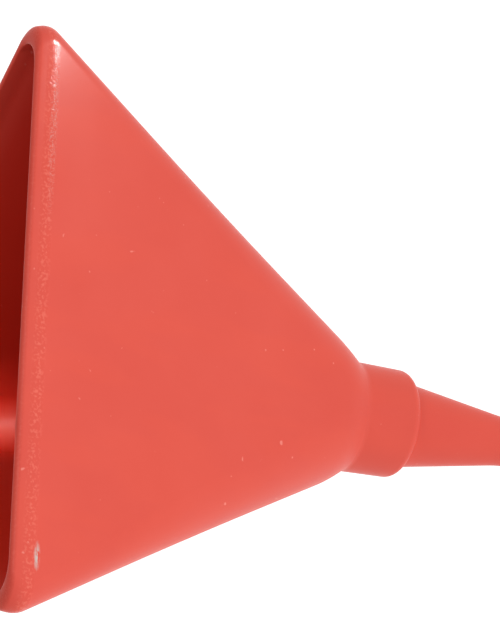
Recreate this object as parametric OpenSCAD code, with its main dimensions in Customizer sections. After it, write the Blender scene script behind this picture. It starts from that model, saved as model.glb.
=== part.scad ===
// Fuel funnel with a three-sided mouth, a stepped collar and a tapered spout.
// A drop-in brass strainer sits on the ledge inside the collar.
// The funnel stands mouth up, and the centre of the spout's tip is the origin.

/* [Mouth] */
// Distance from the funnel's axis to the flat of each side wall at the rim
mouth_apothem = 71; // [55:1:100]
// Outer radius of the mouth's three corners at the lip
lip_corner_r = 12; // [9:1:20]
// Outer radius of the corners at the foot of the upright band
corner_r = 9; // [7:1:20]
// Inner radius of the mouth's three corners
inner_corner_r = 9; // [6:1:16]
// Height of the upright band around the rim
rim_h = 7; // [4:0.5:12]
// Height of the straight lip at the top of the band, and of the straight foot under it
lip_h = 2; // [1:0.5:2]
// Thickness of the rim
rim_t = 3.5; // [2.5:0.1:5]

/* [Hopper] */
// Wall thickness at the neck, in the collar and in the spout
wall_t = 2.5; // [1.8:0.1:3]
// Height of the hopper from the collar to the rim
hopper_h = 172; // [120:1:240]

/* [Collar] */
// Outer radius of the collar at its top
collar_r = 22.4; // [21.5:0.1:26]
// Height of the collar from the spout's shoulder to the hopper
collar_h = 23.2; // [18:0.1:40]
// Radius lost over the collar's height, for release from the mould
collar_draft = 0.5; // [0:0.1:1]
// Radius of the fillet where the hopper meets the collar
neck_fillet_r = 4; // [3:1:10]
// Height of the round flare between the fillet and the flat walls
flare_h = 8; // [2:0.5:10]

/* [Spout] */
// Outer radius of the spout under the collar
spout_base_r = 17.4; // [16:0.1:18]
// Outer radius of the spout's straight end
spout_tip_r = 9.75; // [8:0.05:12]
// Length of the tapered stretch
taper_h = 47.8; // [30:0.1:80]
// Length of the straight end that enters the filler neck
land_h = 25; // [15:1:40]
// Wall thickness of the spout's straight end
tip_wall_t = 2; // [1.5:0.1:2.5]

/* [Strainer] */
// Outer radius of the strainer's cup
strainer_r = 19.4; // [18.8:0.1:19.5]
// Thickness of the strainer's sheet brass
brass_t = 0.8; // [0.5:0.1:1]
// Height of the strainer's cup
cup_h = 6; // [5:0.5:8]
// Clear radius through the strainer
clear_r = 15.3; // [14:0.1:16]
// Thickness of the woven wire cloth
cloth_t = 0.6; // [0.4:0.1:1]
// Height of the clamp ring under the lifting lugs
ring_h = 2; // [1.5:0.5:3]
// Width of each lifting lug
lug_w = 9; // [6:0.5:12]
// Height of each lifting lug above the clamp ring
lug_h = 9; // [6:0.5:10]

/* [Hidden] */
$fn = 96;

overlap = 0.01;
slip = 0.02;
// Each turned surface stands this much proud where it meets a faceted one.
seam = 0.05;

// Heights of the features above the spout's tip.
shoulder_z = land_h + taper_h;
collar_top_z = shoulder_z + collar_h;
rim_z = collar_top_z + hopper_h;
band_z = rim_z - rim_h;

// The collar's lower edge is rounded by the step from the collar to the spout.
collar_low_r = collar_r - collar_draft;
shoulder_r = collar_low_r - spout_base_r;

// The fillet turns from the collar to the slope of the hopper's corners.
neck_angle = 33.5;
neck_r = collar_r + neck_fillet_r * (1 - cos(neck_angle));
neck_z = collar_top_z + neck_fillet_r * sin(neck_angle);

// A round flare carries on at that slope up to the foot of the flat walls.
flare_r = neck_r + flare_h * tan(neck_angle);
flare_z = neck_z + flare_h;
flare_bore_r = flare_r - wall_t / cos(neck_angle);
neck_bore_r = neck_r - wall_t / cos(neck_angle);

// The strainer's ledge inside the collar.
bore_r = collar_low_r - wall_t + 0.3;
ledge_z = shoulder_z + wall_t + 0.7;
tip_bore_r = spout_tip_r - tip_wall_t;

// A triangle with round corners, with one flat towards -Y.
module rounded_triangle(apothem, r) {
    reach = 2 * (apothem - r);
    for (turn = [90, 210, 330])
        rotate(turn)
            translate([reach, 0])
                circle(r);
    polygon([
        for (turn = [90, 210, 330], side = [-60, 60])
            [
                reach * cos(turn) + r * cos(turn + side),
                reach * sin(turn) + r * sin(turn + side)
            ]
    ]);
}

// An upright slice of the rim.
module rim_slice(apothem, r, low_z, high_z) {
    translate([0, 0, low_z])
        linear_extrude(high_z - low_z)
            rounded_triangle(apothem, r);
}

// A hopper-shaped solid from the rim slices given down to a circle at the neck.
module hopper_solid(low_r) {
    hull() {
        children();
        translate([0, 0, flare_z])
            cylinder(r = low_r, h = overlap);
    }
}

// Half section of the fillet and the flare between the collar and the hopper.
module neck_section() {
    difference() {
        polygon([
            [0, collar_top_z - overlap],
            [neck_r, collar_top_z - overlap],
            [neck_r, neck_z],
            [flare_r + seam, flare_z],
            [flare_r + seam, flare_z + 4 * seam],
            [0, flare_z + 4 * seam]
        ]);
        translate([collar_r + neck_fillet_r, collar_top_z])
            circle(neck_fillet_r);
    }
}

// Half section of the collar and the spout, without their bore.
module spout_section() {
    polygon([
        [0, 0],
        [spout_tip_r, 0],
        [spout_tip_r, land_h],
        [spout_base_r, shoulder_z],
        [0, shoulder_z]
    ]);
    polygon([
        [0, shoulder_z - overlap],
        [spout_base_r, shoulder_z - overlap],
        [collar_low_r, shoulder_z + shoulder_r],
        [collar_r, collar_top_z],
        [0, collar_top_z]
    ]);
    translate([spout_base_r, shoulder_z + shoulder_r])
        circle(shoulder_r);
}

// Half section of the bore through the neck, the collar and the spout.
module bore_section() {
    polygon([
        [0, -1],
        [tip_bore_r, -1],
        [tip_bore_r, land_h],
        [spout_base_r - wall_t, ledge_z],
        [bore_r, ledge_z],
        [bore_r, collar_top_z],
        [neck_bore_r, neck_z],
        [flare_bore_r + seam, flare_z],
        [flare_bore_r + seam, flare_z + 4 * seam],
        [0, flare_z + 4 * seam]
    ]);
}

// The one-piece moulded funnel.
module funnel_body() {
    color("#e25b48")
    difference() {
        union() {
            hopper_solid(flare_r) {
                rim_slice(mouth_apothem, corner_r, band_z, band_z + lip_h);
                rim_slice(mouth_apothem, lip_corner_r, rim_z - lip_h, rim_z);
            }
            rotate_extrude()
                neck_section();
            rotate_extrude()
                spout_section();
        }
        hopper_solid(flare_bore_r)
            rim_slice(mouth_apothem - rim_t, inner_corner_r, band_z, rim_z + 1);
        rotate_extrude()
            bore_section();
    }
}

// Pressed brass cup that drops onto the ledge inside the collar.
module strainer_frame() {
    color("#c9a24a")
    translate([0, 0, ledge_z])
        difference() {
            cylinder(r = strainer_r, h = cup_h);
            translate([0, 0, brass_t])
                cylinder(r = strainer_r - brass_t, h = cup_h);
            translate([0, 0, -1])
                cylinder(r = clear_r, h = cup_h);
        }
}

// Disc of woven brass wire cloth.
module strainer_mesh() {
    color("#b8923e")
    translate([0, 0, ledge_z + brass_t])
        cylinder(r = strainer_r - brass_t - slip, h = cloth_t);
}

// Clamp ring that holds the cloth down, with two lugs for lifting the strainer out.
module strainer_ring() {
    ring_r = strainer_r - brass_t - slip;
    color("#c9a24a")
    translate([0, 0, ledge_z + brass_t + cloth_t]) {
        difference() {
            cylinder(r = ring_r, h = ring_h);
            translate([0, 0, -1])
                cylinder(r = clear_r, h = ring_h + 2);
        }
        intersection() {
            difference() {
                cylinder(r = ring_r, h = ring_h + lug_h);
                translate([0, 0, -1])
                    cylinder(r = ring_r - brass_t, h = ring_h + lug_h + 2);
            }
            translate([-strainer_r, -lug_w / 2, 0])
                cube([2 * strainer_r, lug_w, ring_h + lug_h]);
        }
    }
}

funnel_body();
strainer_frame();
strainer_mesh();
strainer_ring();
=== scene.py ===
"""Fuel funnel with a rounded triangular mouth: looks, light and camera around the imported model."""

import math

import bmesh
import bpy
from mathutils import Matrix, Vector


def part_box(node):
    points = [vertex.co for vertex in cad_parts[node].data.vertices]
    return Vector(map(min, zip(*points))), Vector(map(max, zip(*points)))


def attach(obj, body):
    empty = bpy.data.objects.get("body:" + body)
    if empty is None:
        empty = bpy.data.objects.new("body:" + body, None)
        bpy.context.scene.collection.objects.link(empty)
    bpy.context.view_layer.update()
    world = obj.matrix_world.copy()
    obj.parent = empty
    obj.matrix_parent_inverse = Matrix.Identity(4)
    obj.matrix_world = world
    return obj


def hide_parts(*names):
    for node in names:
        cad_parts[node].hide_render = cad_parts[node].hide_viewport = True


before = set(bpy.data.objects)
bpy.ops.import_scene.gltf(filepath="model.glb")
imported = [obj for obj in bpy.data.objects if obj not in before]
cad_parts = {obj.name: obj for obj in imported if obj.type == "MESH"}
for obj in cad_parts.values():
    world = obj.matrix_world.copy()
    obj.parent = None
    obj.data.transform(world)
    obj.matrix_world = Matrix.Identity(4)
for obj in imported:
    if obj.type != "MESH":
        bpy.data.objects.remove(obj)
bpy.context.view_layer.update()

MM = 0.001

# ---------------------------------------------------------------- dimensions, in metres
BODY_LOW, BODY_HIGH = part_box("funnel_body")
CUP_LOW, CUP_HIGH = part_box("strainer_frame")
CLOTH_LOW, CLOTH_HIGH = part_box("strainer_mesh")
RING_LOW, RING_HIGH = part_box("strainer_ring")

RIM_Z = BODY_HIGH.z
MOUTH_APOTHEM = -BODY_LOW.y  # axis to the flat of each wall at the rim
CORNER_R = 9.6 * MM  # outer radius of the mouth's corners at the foot of the band
LIP_CORNER_R = 12 * MM
INNER_CORNER_R = 9 * MM  # at the foot of the band
INNER_LIP_CORNER_R = 12 * MM
SEAM_ACROSS = 0.7  # where the skin starts and ends, as a share of the rim's thickness
RIM_H = 7 * MM
RIM_T = 3.5 * MM
WALL_T = 2.5 * MM
LONGEST_RUN = 6 * MM  # between the skin's sections

COLLAR_R = 22.4 * MM
COLLAR_LOW_R = 21.9 * MM
COLLAR_BORE_R = 19.7 * MM
COLLAR_TOP_Z = 96 * MM
SHOULDER_Z = 72.8 * MM
LEDGE_Z = CUP_LOW.z
SPOUT_BASE_R = 17.4 * MM
TAPER_BORE_R = 14.9 * MM
LAND_Z = 25 * MM
TIP_R = 9.75 * MM
TIP_BORE_R = 7.75 * MM

NECK_FOOT_Z = 97.2 * MM
FLARE_R = 28.36 * MM
FLARE_Z = 106.2 * MM
FLARE_SLOPE = math.radians(33.5)  # from the axis
FLARE_BORE_R = FLARE_R - WALL_T / math.cos(FLARE_SLOPE)

# The hopper's corners are a little rounder half way down than a straight run would make them.
FLARE_APOTHEM = 27.9 * MM
FLARE_CORNER_R = 26.3 * MM
MIDDLE_Z = 175 * MM
HALF_DOWN = (RIM_Z - RIM_H - MIDDLE_Z) / (RIM_Z - RIM_H - FLARE_Z)
MIDDLE_APOTHEM = MOUTH_APOTHEM + (FLARE_APOTHEM - MOUTH_APOTHEM) * HALF_DOWN
MIDDLE_FULLER = 1.3 * MM
MIDDLE_CORNER_R = CORNER_R + (FLARE_CORNER_R - CORNER_R) * HALF_DOWN + MIDDLE_FULLER

CLEAR_R = 15.3 * MM  # through the strainer's cup and ring
BRASS_T = 0.8 * MM
RING_H = 2 * MM
LUG_W = 9 * MM
WIRE_PITCH = 1.25 * MM
WIRE_R = 0.14 * MM


# ---------------------------------------------------------------- mesh helpers
def make_object(name, mesh, body, material):
    """A piece from a mesh: smooth shaded, on its body, with its finish."""
    for face in mesh.polygons:
        face.use_smooth = True
    piece = bpy.data.objects.new(name, mesh)
    bpy.context.scene.collection.objects.link(piece)
    mesh.materials.append(material)
    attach(piece, body)
    return piece


def round_knots(knots, steps=9):
    """Points along a path of knots, each corner turned into a circular arc.

    A knot is (z, apothem, corner radius, length taken off each side of the corner,
    wear). Wear is 1 on edges that get rubbed and carry a painted highlight, and fades out along the
    straight runs.
    """
    points = []
    for i, (z, apothem, radius, soften, wear_and_sheen) in enumerate(knots):
        here = Vector((z, apothem, radius))
        if soften == 0 or i in (0, len(knots) - 1):
            points.append((here, wear_and_sheen))
            continue
        before = Vector(knots[i - 1][:3]) - here
        after = Vector(knots[i + 1][:3]) - here
        before *= soften / math.hypot(before.x, before.y)
        after *= soften / math.hypot(after.x, after.y)
        flat_before, flat_after = before.to_2d(), after.to_2d()
        weight = math.sin(flat_before.angle(flat_after) / 2)
        for k in range(steps + 1):
            t = k / steps
            b0, b1, b2 = (1 - t) ** 2, 2 * t * (1 - t) * weight, t * t
            total = b0 + b1 + b2
            point = here + (before * b0 + after * b2) / total
            points.append((point, wear_and_sheen * math.sin(math.pi * t)))
    return points


def fill_runs(points, longest):
    """Splits the long straight runs between points into shorter ones."""
    filled = [points[0]]
    for (a, wear_a), (b, wear_b) in zip(points, points[1:]):
        parts = max(1, math.ceil(math.hypot(b.x - a.x, b.y - a.y) / longest))
        for k in range(1, parts + 1):
            t = k / parts
            filled.append((a.lerp(b, t), wear_a + (wear_b - wear_a) * t))
    return filled


def triangle_section(apothem, radius, arc_steps, flat_steps):
    """Outline of a triangle with round corners and one flat towards -Y.

    It is a circle where the radius is the apothem.
    """
    reach = 2 * (apothem - radius)
    outline = []
    for turn in (90, 210, 330):
        centre = reach * Vector((math.cos(math.radians(turn)), math.sin(math.radians(turn))))
        for k in range(arc_steps + 1):
            a = math.radians(turn - 60 + 120 * k / arc_steps)
            outline.append(centre + radius * Vector((math.cos(a), math.sin(a))))
        following = math.radians(turn + 120)
        next_centre = reach * Vector((math.cos(following), math.sin(following)))
        normal = math.radians(turn + 60)
        side = radius * Vector((math.cos(normal), math.sin(normal)))
        for k in range(1, flat_steps):
            outline.append((centre + side).lerp(next_centre + side, k / flat_steps))
    return outline


def loft(name, points, arc_steps, flat_steps, closed):
    """Skin over the sections along a path of (z, apothem, corner radius) points."""
    mesh = bpy.data.meshes.new(name)
    work = bmesh.new()
    wear_layer = work.verts.layers.float.new("wear_and_sheen")
    rings = []
    for point, wear_and_sheen in points:
        ring = []
        for xy in triangle_section(point.y, point.z, arc_steps, flat_steps):
            vert = work.verts.new((xy.x, xy.y, point.x))
            vert[wear_layer] = wear_and_sheen
            ring.append(vert)
        rings.append(ring)
    pairs = list(zip(rings, rings[1:]))
    if closed:
        pairs.append((rings[-1], rings[0]))
    for low, high in pairs:
        for k in range(len(low)):
            j = (k + 1) % len(low)
            work.faces.new((low[k], low[j], high[j], high[k]))
    bmesh.ops.remove_doubles(work, verts=work.verts, dist=0.002 * MM)
    bmesh.ops.recalc_face_normals(work, faces=work.faces)
    work.to_mesh(mesh)
    work.free()
    return mesh


# ---------------------------------------------------------------- material helpers
class Nodes:
    """A small writer for one material's node tree."""

    def __init__(self, name):
        self.material = bpy.data.materials.new(name)
        self.material.use_nodes = True
        self.tree = self.material.node_tree
        self.shader = self.tree.nodes["Principled BSDF"]

    def new(self, kind, **settings):
        node = self.tree.nodes.new(kind)
        for key, value in settings.items():
            setattr(node, key, value)
        return node

    def link(self, source, target):
        self.tree.links.new(source, target)

    def noise(self, scale, detail=3.0, roughness=0.5, stretch=(1, 1, 1)):
        coords = self.new("ShaderNodeTexCoord")
        mapping = self.new("ShaderNodeMapping")
        mapping.inputs["Scale"].default_value = stretch
        self.link(coords.outputs["Object"], mapping.inputs["Vector"])
        node = self.new("ShaderNodeTexNoise")
        node.inputs["Scale"].default_value = scale
        node.inputs["Detail"].default_value = detail
        node.inputs["Roughness"].default_value = roughness
        self.link(mapping.outputs["Vector"], node.inputs["Vector"])
        return node

    def patch(self, centre, reach):
        """1 at the centre of an ellipsoid, fading to 0 at its reach along each axis."""
        coords = self.new("ShaderNodeTexCoord")
        mapping = self.new("ShaderNodeMapping")
        mapping.inputs["Location"].default_value = [-c / r for c, r in zip(centre, reach)]
        mapping.inputs["Scale"].default_value = [1 / r for r in reach]
        self.link(coords.outputs["Object"], mapping.inputs["Vector"])
        length = self.new("ShaderNodeVectorMath", operation="LENGTH")
        self.link(mapping.outputs["Vector"], length.inputs[0])
        return self.ramp(length.outputs["Value"], 0.3, 1.0, 1.0, 0.0)

    def ramp(self, source, low, high, out_low=0.0, out_high=1.0):
        node = self.new("ShaderNodeMapRange")
        node.inputs["From Min"].default_value = low
        node.inputs["From Max"].default_value = high
        node.inputs["To Min"].default_value = out_low
        node.inputs["To Max"].default_value = out_high
        self.link(source, node.inputs["Value"])
        return node.outputs["Result"]

    def math(self, operation, a, b):
        node = self.new("ShaderNodeMath", operation=operation)
        for socket, value in zip(node.inputs, (a, b)):
            if isinstance(value, (int, float)):
                socket.default_value = value
            else:
                self.link(value, socket)
        return node.outputs["Value"]

    def mix_colour(self, factor, a, b):
        node = self.new("ShaderNodeMix", data_type="RGBA")
        self.link(factor, node.inputs["Factor"])
        for socket, value in ((node.inputs[6], a), (node.inputs[7], b)):
            if isinstance(value, tuple):
                socket.default_value = (*value, 1.0)
            else:
                self.link(value, socket)
        return node.outputs[2]

    def bump(self, height, distance, strength=1.0, normal=None):
        node = self.new("ShaderNodeBump")
        node.inputs["Distance"].default_value = distance
        node.inputs["Strength"].default_value = strength
        self.link(height, node.inputs["Height"])
        if normal is not None:
            self.link(normal, node.inputs["Normal"])
        return node.outputs["Normal"]


RED_DEEP = (0.645, 0.084, 0.060)
RED_PALE = (0.670, 0.094, 0.068)
# Painted shade: the surface inside the hopper is darkened towards this deep red.
RED_INSIDE_SHADE = (0.46, 0.008, 0.0005)
RED_SPECULAR = 0.05
RED_FLOW = (0.74, 0.10, 0.06)
RED_SPECK = (0.86, 0.34, 0.28)
# Lighter red on rubbed edges: partly wear, partly painted highlight.
RED_RUBBED_AND_SHEEN = (0.88, 0.26, 0.19)
# Pale colour of the painted highlights at the foot of the band.
PAINTED_GLINT_PALE = (0.55, 0.44, 0.40)
# Painted highlights at the foot of the band, drawn as pale rub marks: a spot near one corner and a run of
# flecks near the other.
PAINTED_GLINT_SPOT = Vector((-95.3, -71, 257.6)) * MM
PAINTED_GLINT_SPOT_REACH = Vector((6.5, 4, 1.7)) * MM
PAINTED_GLINT_RUN = Vector((76, -71, 259.6)) * MM
PAINTED_GLINT_RUN_REACH = Vector((46, 4, 2.2)) * MM
# The near corner of the band is rubbed smooth.
POLISHED = Vector((108, -70, 261)) * MM
POLISHED_REACH = Vector((18, 14, 8)) * MM
INSIDE_SHADE_FADE = 16 * MM  # depth below the rim over which the painted shade inside the hopper builds up
# Strength of the painted shade inside the hopper.
INSIDE_SHADE_TONE = 0.85

BRASS_BRIGHT, BRASS_DULL = (0.83, 0.61, 0.30), (0.58, 0.38, 0.16)
WIRE_BRIGHT, WIRE_DULL = (0.76, 0.54, 0.25), (0.50, 0.33, 0.13)


def moulded_red():
    """Red polyethylene: satin, finely grained, scuffed where edges rub.

    The inside is a deeper red than one moulding would be: painted shade, darker with depth and lighter in
    the hopper's corners. The inside is a deeper red than one moulding would be, to match the photo's dark
    hopper. The lighter flecks on rubbed edges are partly wear, partly painted highlight, and the pale
    spot and run of flecks at the foot of the band are painted highlights.
    """
    n = Nodes("moulded_red")
    cloudy = n.noise(22, detail=4).outputs["Fac"]
    flow = n.noise(60, detail=2, stretch=(1, 1, 0.12)).outputs["Fac"]
    grain = n.noise(2600, detail=2, roughness=0.6).outputs["Fac"]
    pebble = n.noise(900, detail=2).outputs["Fac"]
    specks = n.noise(330, detail=1).outputs["Fac"]
    ragged = n.noise(1100, detail=2, stretch=(0.4, 1, 1)).outputs["Fac"]
    flecks = n.noise(2000, detail=1).outputs["Fac"]
    wear_and_sheen = n.new("ShaderNodeAttribute", attribute_name="wear_and_sheen").outputs["Fac"]
    inside = n.new("ShaderNodeAttribute", attribute_name="inside").outputs["Fac"]

    base = n.mix_colour(n.ramp(cloudy, 0.3, 0.75), RED_DEEP, RED_PALE)
    base = n.mix_colour(n.ramp(flow, 0.45, 0.62, 0.0, 0.15), base, RED_FLOW)
    base = n.mix_colour(n.ramp(specks, 0.77, 0.82, 0.0, 0.45), base, RED_SPECK)
    # Lighter flecks along rubbed edges: partly wear, partly painted highlight.
    rubbed_and_sheen = n.math("MULTIPLY", wear_and_sheen, n.ramp(pebble, 0.5, 0.66, 0.0, 0.3))
    base = n.mix_colour(rubbed_and_sheen, base, RED_RUBBED_AND_SHEEN)
    glint_spot = n.math("MULTIPLY", n.patch(PAINTED_GLINT_SPOT, PAINTED_GLINT_SPOT_REACH), n.ramp(ragged, 0.4, 0.54))
    glint_run = n.math("MULTIPLY", n.patch(PAINTED_GLINT_RUN, PAINTED_GLINT_RUN_REACH), n.ramp(flecks, 0.52, 0.62, 0.0, 0.42))
    # Painted highlights: a pale spot and a run of pale flecks at the foot of the band.
    base = n.mix_colour(n.math("MAXIMUM", glint_spot, glint_run), base, PAINTED_GLINT_PALE)
    # Painted shade inside the hopper, deeper below the rim and weaker in the corners.
    base = n.mix_colour(n.math("MULTIPLY", inside, INSIDE_SHADE_TONE), base, RED_INSIDE_SHADE)
    n.link(base, n.shader.inputs["Base Color"])

    rough = n.ramp(cloudy, 0.3, 0.7, 0.3, 0.38)
    rough = n.math("ADD", rough, n.ramp(grain, 0.3, 0.7, -0.05, 0.05))
    rough = n.math("SUBTRACT", rough, n.math("MULTIPLY", wear_and_sheen, 0.2))
    n.link(rough, n.shader.inputs["Roughness"])
    n.shader.inputs["IOR"].default_value = 1.51
    n.shader.inputs["Specular IOR Level"].default_value = RED_SPECULAR

    polished = n.patch(POLISHED, POLISHED_REACH)
    scuffed = n.math("MULTIPLY", n.ramp(wear_and_sheen, 0.3, 1.0, 0.1, 0.8), n.ramp(polished, 0.0, 1.0, 1.0, 0.1))
    normal = n.bump(n.math("MULTIPLY", pebble, scuffed), 0.22 * MM, 0.9)
    normal = n.bump(grain, 0.018 * MM, 0.8, normal)
    n.link(normal, n.shader.inputs["Normal"])
    return n.material


def pressed_brass():
    """Pressed sheet brass with fine scratches and a little tarnish."""
    n = Nodes("pressed_brass")
    tarnish = n.noise(90, detail=5, roughness=0.6).outputs["Fac"]
    scratch = n.noise(700, detail=3, stretch=(1, 0.08, 1)).outputs["Fac"]
    base = n.mix_colour(n.ramp(tarnish, 0.35, 0.7), BRASS_BRIGHT, BRASS_DULL)
    n.link(base, n.shader.inputs["Base Color"])
    n.shader.inputs["Metallic"].default_value = 1.0
    rough = n.math("ADD", n.ramp(tarnish, 0.3, 0.7, 0.22, 0.42), n.ramp(scratch, 0.3, 0.7, -0.04, 0.06))
    n.link(rough, n.shader.inputs["Roughness"])
    n.link(n.bump(scratch, 0.01 * MM, 0.6), n.shader.inputs["Normal"])
    return n.material


def wire_brass():
    """Drawn brass wire, duller than the sheet."""
    n = Nodes("wire_brass")
    tarnish = n.noise(160, detail=4).outputs["Fac"]
    base = n.mix_colour(n.ramp(tarnish, 0.35, 0.7), WIRE_BRIGHT, WIRE_DULL)
    n.link(base, n.shader.inputs["Base Color"])
    n.shader.inputs["Metallic"].default_value = 1.0
    n.link(n.ramp(tarnish, 0.3, 0.7, 0.28, 0.45), n.shader.inputs["Roughness"])
    drawn = n.noise(3000, detail=1).outputs["Fac"]
    n.link(n.bump(drawn, 0.004 * MM, 0.6), n.shader.inputs["Normal"])
    return n.material


# ---------------------------------------------------------------- the moulding
def mark_inside_shade(mesh):
    """Marks the surface that faces the funnel's axis for painted shade, less so in the hopper's corners.
    """
    flats = [Vector((math.cos(a), math.sin(a))) for a in map(math.radians, (30, 150, 270))]
    inside = mesh.attributes.new("inside", "FLOAT", "POINT")
    for vert, value in zip(mesh.vertices, inside.data):
        across = vert.normal.to_2d()
        facing = min(1.0, max(0.45 * vert.normal.z, -1.6 * across.dot(vert.co.to_2d().normalized()), 0.0))
        flat = max(-across.normalized().dot(flat) for flat in flats) if facing > 0.5 else 1.0
        depth = min(1.0, max(0.0, (RIM_Z - vert.co.z) / INSIDE_SHADE_FADE))
        # Painted shade: weaker in the corners, so their creases stay lighter, and stronger with depth.
        value.value = facing * (1 - 2.0 * (1 - flat)) * (0.5 + 0.5 * depth)


def funnel_body(material):
    """The one-piece funnel: rim, hopper, collar and spout, outside then inside."""
    outside = [
        (RIM_Z, MOUTH_APOTHEM, LIP_CORNER_R, 2.2 * MM, 0.3),
        (RIM_Z - RIM_H, MOUTH_APOTHEM, CORNER_R, 3.4 * MM, 1.0),
        (MIDDLE_Z, MIDDLE_APOTHEM, MIDDLE_CORNER_R, 40 * MM, 0.0),
        (FLARE_Z, FLARE_APOTHEM, FLARE_CORNER_R, 5 * MM, 0.0),
        (NECK_FOOT_Z, COLLAR_R, COLLAR_R, 1.6 * MM, 0.0),
        (SHOULDER_Z, COLLAR_LOW_R, COLLAR_LOW_R, COLLAR_LOW_R - SPOUT_BASE_R - 0.3 * MM, 0.0),
        (SHOULDER_Z, SPOUT_BASE_R, SPOUT_BASE_R, 0.28 * MM, 0.0),
        (LAND_Z, TIP_R, TIP_R, 6 * MM, 0.0),
        (0, TIP_R, TIP_R, 0.8 * MM, 1.0),
    ]
    inside = [
        (0, TIP_BORE_R, TIP_BORE_R, 0.6 * MM, 0.5),
        (LAND_Z, TIP_BORE_R, TIP_BORE_R, 5 * MM, 0.0),
        (LEDGE_Z, TAPER_BORE_R, TAPER_BORE_R, 0.4 * MM, 0.0),
        (LEDGE_Z, COLLAR_BORE_R, COLLAR_BORE_R, 0.3 * MM, 0.0),
        (COLLAR_TOP_Z, COLLAR_BORE_R, COLLAR_BORE_R, 2 * MM, 0.0),
        (FLARE_Z, FLARE_BORE_R, FLARE_BORE_R, 5 * MM, 0.0),
        (RIM_Z - RIM_H, MOUTH_APOTHEM - RIM_T, INNER_CORNER_R, 2 * MM, 0.0),
        (RIM_Z, MOUTH_APOTHEM - RIM_T, INNER_LIP_CORNER_R, 0.9 * MM, 0.2),
    ]
    knots = outside + inside
    # The path starts and ends on the top of the rim, near its inner edge.
    seam_r = LIP_CORNER_R + (INNER_LIP_CORNER_R - LIP_CORNER_R) * SEAM_ACROSS
    seam = (RIM_Z, MOUTH_APOTHEM - RIM_T * SEAM_ACROSS, seam_r, 0, 0.0)
    path = fill_runs(round_knots([seam, *knots, seam]), LONGEST_RUN)[:-1]
    mesh = loft("funnel_body_skin", path, arc_steps=32, flat_steps=14, closed=True)
    mark_inside_shade(mesh)
    skin = make_object("funnel_body_skin", mesh, "funnel", material)
    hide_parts("funnel_body")
    return skin


# ---------------------------------------------------------------- the strainer
def lathe(name, knots):
    """A closed turned mesh from a loop of (z, radius, soften) knots."""
    loop = [(z, r, r, soften, 0.0) for z, r, soften in knots]
    start = tuple((a + b) / 2 for a, b in zip(loop[0][:3], loop[-1][:3]))
    start = (*start, 0, 0.0)
    path = round_knots([start, *loop, start], steps=4)[:-1]
    return loft(name, path, arc_steps=32, flat_steps=1, closed=True)


def strainer_cup(material):
    """Pressed cup: a flat ring with a bent-up wall and rolled edges."""
    low, high, outer = CUP_LOW.z, CUP_HIGH.z, CUP_HIGH.x
    inner = outer - BRASS_T
    mesh = lathe(
        "strainer_cup_skin",
        [
            (low + BRASS_T, CLEAR_R, 0.3 * MM),
            (low, CLEAR_R, 0.35 * MM),
            (low, outer, 1.1 * MM),
            (high, outer, 0.36 * MM),
            (high, inner, 0.36 * MM),
            (low + BRASS_T, inner, 0.25 * MM),
        ],
    )
    skin = make_object("strainer_cup_skin", mesh, "strainer", material)
    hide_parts("strainer_frame")


def add_lug(work, side, low, high, radius):
    """A curved lifting lug with round top corners, bent up from the ring's outer edge."""
    half, corner, columns = LUG_W / 2, 3 * MM, 16
    rows = []
    for shell in (radius, radius - BRASS_T):
        for k in range(columns + 1):
            y = -half + LUG_W * k / columns
            past = max(0.0, abs(y) - (half - corner))
            top = high - corner + math.sqrt(corner * corner - past * past)
            x = side * math.sqrt(shell * shell - y * y)
            rows.append([work.verts.new((x, y, z)) for z in (low, (low + top) / 2, top)])
    outer, inner = rows[: columns + 1], rows[columns + 1 :]
    faces = []
    for k in range(columns):
        for row in (0, 1):
            for shell in (outer, inner):
                a, b = shell[k], shell[k + 1]
                faces.append(work.faces.new((a[row], b[row], b[row + 1], a[row + 1])))
        for end in (0, 2):
            corners = (outer[k][end], outer[k + 1][end], inner[k + 1][end], inner[k][end])
            faces.append(work.faces.new(corners))
    for k in (0, columns):
        for row in (0, 1):
            corners = (outer[k][row], outer[k][row + 1], inner[k][row + 1], inner[k][row])
            faces.append(work.faces.new(corners))
    bmesh.ops.recalc_face_normals(work, faces=faces)
    sharp = [e for f in faces for e in f.edges if e.calc_face_angle(0) > math.radians(50)]
    bmesh.ops.bevel(work, geom=list(set(sharp)), offset=0.22 * MM, segments=3, affect="EDGES")


def strainer_ring(material):
    """Clamp ring with two lugs for lifting the strainer out."""
    low, high, outer = RING_LOW.z, RING_HIGH.z, RING_HIGH.x
    soft = 0.5 * MM
    top = low + RING_H
    mesh = lathe(
        "strainer_ring_skin",
        [(top, CLEAR_R, soft), (low, CLEAR_R, soft), (low, outer, 0.2 * MM), (top, outer, soft)],
    )
    work = bmesh.new()
    work.from_mesh(mesh)
    for side in (-1, 1):
        add_lug(work, side, top - soft, high, outer - 0.02 * MM)
    work.to_mesh(mesh)
    work.free()
    skin = make_object("strainer_ring_skin", mesh, "strainer", material)
    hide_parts("strainer_ring")


def add_wire(work, along, offset, half, level, phase):
    """One wire of the cloth: a thin wavy tube with closed ends. along is 0 for X, 1 for Y."""
    steps = max(2, round(half * 2 / (WIRE_PITCH / 4)))
    rings = []
    for k in range(steps + 1):
        t = -half + 2 * half * k / steps
        wave = WIRE_R * math.cos(math.pi * (t / WIRE_PITCH + phase))
        ring = []
        for side in range(6):
            a = math.radians(60 * side)
            across = offset + WIRE_R * math.cos(a)
            z = level + wave + WIRE_R * math.sin(a)
            ring.append(work.verts.new((t, across, z) if along == 0 else (across, t, z)))
        rings.append(ring)
    for low, high in zip(rings, rings[1:]):
        for k in range(6):
            j = (k + 1) % 6
            work.faces.new((low[k], low[j], high[j], high[k]))
    work.faces.new(rings[0])
    work.faces.new(rings[-1])


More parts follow.
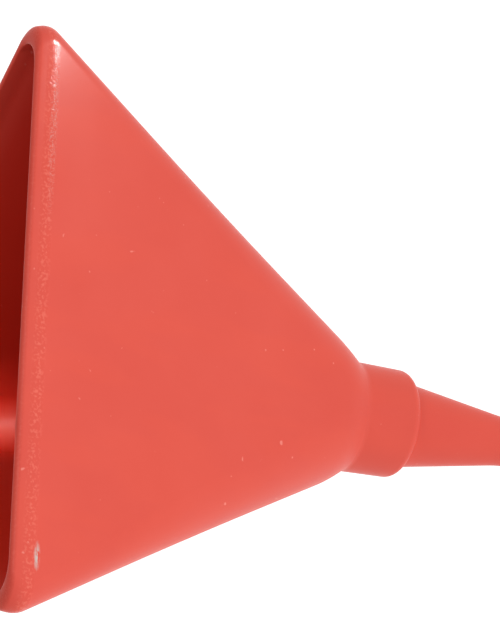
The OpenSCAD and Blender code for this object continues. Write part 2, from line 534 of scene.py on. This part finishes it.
def strainer_cloth(material):
    """Plain woven wire cloth, cut round just inside the cup."""
    level = (CLOTH_LOW.z + CLOTH_HIGH.z) / 2
    reach = CLOTH_HIGH.x - 0.25 * MM
    count = int(reach / WIRE_PITCH)
    work = bmesh.new()
    for along in (0, 1):
        for i in range(-count, count + 1):
            offset = i * WIRE_PITCH
            half = math.sqrt(reach * reach - offset * offset)
            add_wire(work, along, offset, half, level, i + along)
    bmesh.ops.recalc_face_normals(work, faces=work.faces)
    mesh = bpy.data.meshes.new("strainer_cloth_skin")
    work.to_mesh(mesh)
    work.free()
    skin = make_object("strainer_cloth_skin", mesh, "strainer", material)
    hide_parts("strainer_mesh")


# ---------------------------------------------------------------- assembly
red = moulded_red()
brass = pressed_brass()
wire = wire_brass()
funnel_body(red)
strainer_cup(brass)
strainer_ring(brass)
strainer_cloth(wire)


# ---------------------------------------------------------------- stage, light and camera
AIM = Vector((36.49, 0, 141.36)) * MM
CAMERA_AZIMUTH = math.radians(-18.89)
CAMERA_ELEVATION = math.radians(24.03)
CAMERA_ROLL = math.radians(-80.06)
CAMERA_DISTANCE = 1.739
CAMERA_LENS = 248.96

FAR_CORNER = Vector((3, 105, 232)) * MM  # the crease inside the hopper that the accent lights
NEAR_CORNER = Vector((0.112, -MOUTH_APOTHEM, RIM_Z - RIM_H))
FLOOR_SIZE = 14
FLOOR_GREY = (0.4, 0.4, 0.4, 1)
FLOOR_GLOW = 0.97
WORLD_HORIZON = 1.0
WORLD_ZENITH = 0.4
WORLD_FADE = 0.6


def camera_axes():
    """The camera's right, up and back directions."""
    a, e, r = CAMERA_AZIMUTH, CAMERA_ELEVATION, CAMERA_ROLL
    back = Vector((math.sin(a) * math.cos(e), -math.cos(a) * math.cos(e), math.sin(e)))
    level = Vector((math.cos(a), math.sin(a), 0))
    up = back.cross(level)
    right = math.cos(r) * level + math.sin(r) * up
    return right, back.cross(right), back


def add_camera():
    right, up, back = camera_axes()
    data = bpy.data.cameras.new("camera")
    data.lens = CAMERA_LENS
    data.sensor_width = 36
    camera = bpy.data.objects.new("camera", data)
    bpy.context.scene.collection.objects.link(camera)
    turn = Matrix((right, up, back)).transposed().to_4x4()
    camera.matrix_world = Matrix.Translation(AIM + back * CAMERA_DISTANCE) @ turn
    bpy.context.scene.camera = camera


def add_light(name, direction, distance, size, power, target=AIM, glint=False):
    """A square soft box that faces the target. A glint only shows in reflections."""
    data = bpy.data.lights.new(name, "AREA")
    data.shape = "SQUARE"
    data.size = size
    data.energy = power
    light = bpy.data.objects.new(name, data)
    bpy.context.scene.collection.objects.link(light)
    away = Vector(direction).normalized()
    light.location = target + away * distance
    light.rotation_mode = "QUATERNION"
    light.rotation_quaternion = away.to_track_quat("Z", "Y")
    light.visible_diffuse = not glint


def add_spot(name, direction, distance, angle, flatness, power, target):
    """A soft spot with a flattened beam that picks out one corner's crease."""
    data = bpy.data.lights.new(name, "SPOT")
    data.spot_size = angle
    data.spot_blend = 1.0
    data.shadow_soft_size = 0.02
    data.energy = power
    light = bpy.data.objects.new(name, data)
    bpy.context.scene.collection.objects.link(light)
    away = Vector(direction).normalized()
    light.location = target + away * distance
    light.scale = (flatness, 1, 1)
    light.rotation_mode = "QUATERNION"
    light.rotation_quaternion = away.to_track_quat("Z", "Y")


def add_floor():
    bpy.ops.mesh.primitive_plane_add(size=FLOOR_SIZE, location=(0, 0, 0))
    floor = bpy.context.object
    floor.name = "floor"
    n = Nodes("floor_white")
    n.shader.inputs["Base Color"].default_value = FLOOR_GREY
    n.shader.inputs["Roughness"].default_value = 0.9
    n.shader.inputs["Specular IOR Level"].default_value = 0.0
    n.shader.inputs["Emission Color"].default_value = (1, 1, 1, 1)
    n.shader.inputs["Emission Strength"].default_value = FLOOR_GLOW
    floor.data.materials.append(n.material)


def set_world():
    """White at the horizon, dim overhead, so the inside of the hopper stays dark."""
    world = bpy.data.worlds.new("studio")
    world.use_nodes = True
    tree = world.node_tree
    coords = tree.nodes.new("ShaderNodeTexCoord")
    split = tree.nodes.new("ShaderNodeSeparateXYZ")
    fade = tree.nodes.new("ShaderNodeMapRange")
    fade.interpolation_type = "SMOOTHSTEP"
    fade.inputs["From Min"].default_value = 0.0
    fade.inputs["From Max"].default_value = WORLD_FADE
    fade.inputs["To Min"].default_value = WORLD_HORIZON
    fade.inputs["To Max"].default_value = WORLD_ZENITH
    tree.links.new(coords.outputs["Generated"], split.inputs["Vector"])
    tree.links.new(split.outputs["Z"], fade.inputs["Value"])
    tree.links.new(fade.outputs["Result"], tree.nodes["Background"].inputs["Strength"])
    tree.nodes["Background"].inputs["Color"].default_value = (1, 1, 1, 1)
    bpy.context.scene.world = world


bpy.context.scene.view_settings.view_transform = "Standard"
add_floor()
set_world()
add_light("key", (0.18, -0.6, 0.74), distance=1.5, size=0.5, power=6)
add_spot(
    "accent",
    (0, -0.75, 0.66),
    distance=1.2,
    angle=math.radians(4.6),
    flatness=0.1,
    power=300,
    target=FAR_CORNER,
)
add_light("fill", (-0.85, -0.5, -0.12), distance=0.9, size=0.2, power=1.2)
add_light(
    "glint",
    (0.46, -0.60, -0.66),
    distance=0.13,
    size=0.04,
    power=0.95,
    target=NEAR_CORNER,
    glint=True,
)
add_camera()
